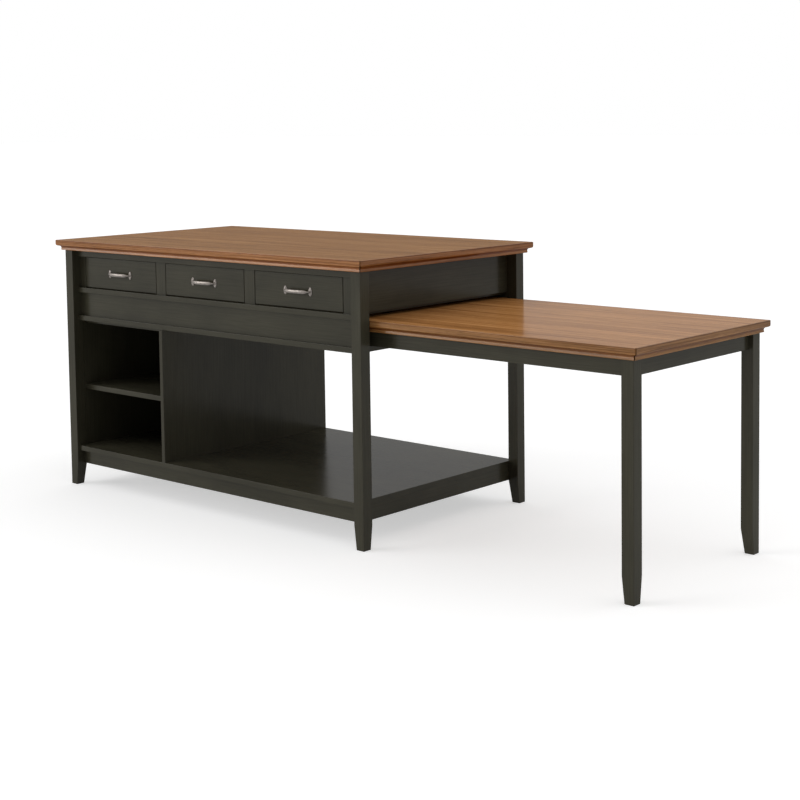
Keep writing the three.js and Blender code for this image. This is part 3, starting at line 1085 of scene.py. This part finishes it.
class ISLAND_OT_stage(bpy.types.Operator):
    """Set the camera, the lamps, the white surroundings and the floor"""

    bl_idname = "island.stage"
    bl_label = "Stage"

    FLOOR_WIDTH = 160
    FARTHEST = 200

    def execute(self, context):
        stage = context.scene.island_stage
        context.scene.view_settings.view_transform = "Standard"
        self.camera(stage)
        self.world(stage)
        self.lamp("overhead_lamp", stage.overhead, azimuth=0, elevation=90, spread=100)
        self.lamp("key_lamp", stage.key, azimuth=-45, elevation=10, spread=36)
        self.lamp("fill_lamp", stage.fill, azimuth=125, elevation=25, spread=80)
        self.floor(stage)
        return {"FINISHED"}

    def camera(self, stage):
        deselect_all()
        turn, tilt, roll = stage.camera_turn
        bpy.ops.object.camera_add(location=stage.camera_place)
        camera = bpy.context.object
        camera.name = "camera"
        aim = (
            Matrix.Rotation(turn, 3, "Z")
            @ Matrix.Rotation(math.pi / 2 - tilt, 3, "X")
            @ Matrix.Rotation(roll, 3, "Z")
        )
        camera.rotation_euler = aim.to_euler()
        camera.data.lens = stage.lens
        camera.data.shift_x, camera.data.shift_y = stage.shift
        camera.data.clip_end = self.FARTHEST
        bpy.context.scene.camera = camera

    def shown_plainly(self, nodes, links):
        """1 for what the camera sees, also in a mirror or through glass, else 0."""
        path = nodes.new("ShaderNodeLightPath")
        total = path.outputs["Is Camera Ray"]
        for ray in ("Is Glossy Ray", "Is Transmission Ray"):
            add = nodes.new("ShaderNodeMath")
            add.operation = "ADD"
            add.use_clamp = True
            links.new(total, add.inputs[0])
            links.new(path.outputs[ray], add.inputs[1])
            total = add.outputs[0]
        return total

    def world(self, stage):
        world = bpy.data.worlds.new("white_studio")
        bpy.context.scene.world = world
        world.use_nodes = True
        nodes, links = world.node_tree.nodes, world.node_tree.links
        nodes.clear()
        mix = nodes.new("ShaderNodeMixShader")
        links.new(self.shown_plainly(nodes, links), mix.inputs[0])
        for socket, level in ((mix.inputs[1], stage.sky), (mix.inputs[2], 1.0)):
            background = nodes.new("ShaderNodeBackground")
            background.inputs["Color"].default_value = (1, 1, 1, 1)
            background.inputs["Strength"].default_value = level
            links.new(background.outputs[0], socket)
        output = nodes.new("ShaderNodeOutputWorld")
        links.new(mix.outputs[0], output.inputs["Surface"])

    def lamp(self, name, strength, azimuth, elevation, spread):
        """A soft distant lamp; azimuth 0 stands in front and 90 on the right."""
        deselect_all()
        bpy.ops.object.light_add(type="SUN", location=(0, 0, 3))
        lamp = bpy.context.object
        lamp.name = name
        lamp.rotation_euler = (math.radians(90 - elevation), 0, math.radians(azimuth))
        lamp.data.energy = strength
        lamp.data.angle = math.radians(spread)

    def floor(self, stage):
        deselect_all()
        bpy.ops.mesh.primitive_plane_add(size=self.FLOOR_WIDTH, location=(0, 0, 0))
        floor = new_piece("floor")
        material = bpy.data.materials.new("floor")
        material.use_nodes = True
        nodes, links = material.node_tree.nodes, material.node_tree.links
        nodes.clear()
        diffuse = nodes.new("ShaderNodeBsdfDiffuse")
        diffuse.inputs["Color"].default_value = (*grey(stage.floor), 1)
        lift = nodes.new("ShaderNodeEmission")
        scale = nodes.new("ShaderNodeMath")
        scale.operation = "MULTIPLY"
        scale.inputs[1].default_value = stage.floor_lift
        links.new(self.shown_plainly(nodes, links), scale.inputs[0])
        links.new(scale.outputs[0], lift.inputs["Strength"])
        total = nodes.new("ShaderNodeAddShader")
        links.new(diffuse.outputs[0], total.inputs[0])
        links.new(lift.outputs[0], total.inputs[1])
        output = nodes.new("ShaderNodeOutputMaterial")
        links.new(total.outputs[0], output.inputs["Surface"])
        floor.data.materials.append(material)


# ---- The add-on ----

STEPS = (
    ISLAND_OT_stage,
    ISLAND_OT_legs,
    ISLAND_OT_frame,
    ISLAND_OT_inner_boards,
    ISLAND_OT_tops,
    ISLAND_OT_mouldings,
    ISLAND_OT_drawer_fronts,
    ISLAND_OT_drawer_boxes,
    ISLAND_OT_pulls,
)


class ISLAND_PT_panel(bpy.types.Panel):
    """Lists what makes the island"""

    bl_idname = "ISLAND_PT_panel"
    bl_label = "Island"
    bl_space_type = "VIEW_3D"
    bl_region_type = "UI"
    bl_category = "Island"

    def draw(self, context):
        for step in STEPS:
            self.layout.operator(step.bl_idname)


GROUPS = (
    ("island_sizes", IslandSizes),
    ("island_finishes", IslandFinishes),
    ("island_stage", IslandStage),
)


def register():
    for name, group in GROUPS:
        bpy.utils.register_class(group)
        setattr(bpy.types.Scene, name, bpy.props.PointerProperty(type=group))
    for step in (*STEPS, ISLAND_PT_panel):
        bpy.utils.register_class(step)


def unregister():
    for step in reversed((*STEPS, ISLAND_PT_panel)):
        bpy.utils.unregister_class(step)
    for name, group in reversed(GROUPS):
        delattr(bpy.types.Scene, name)
        bpy.utils.unregister_class(group)


def main():
    register()
    for step in STEPS:
        group, action = step.bl_idname.split(".")
        getattr(getattr(bpy.ops, group), action)()


if __name__ == "__main__":
    main()
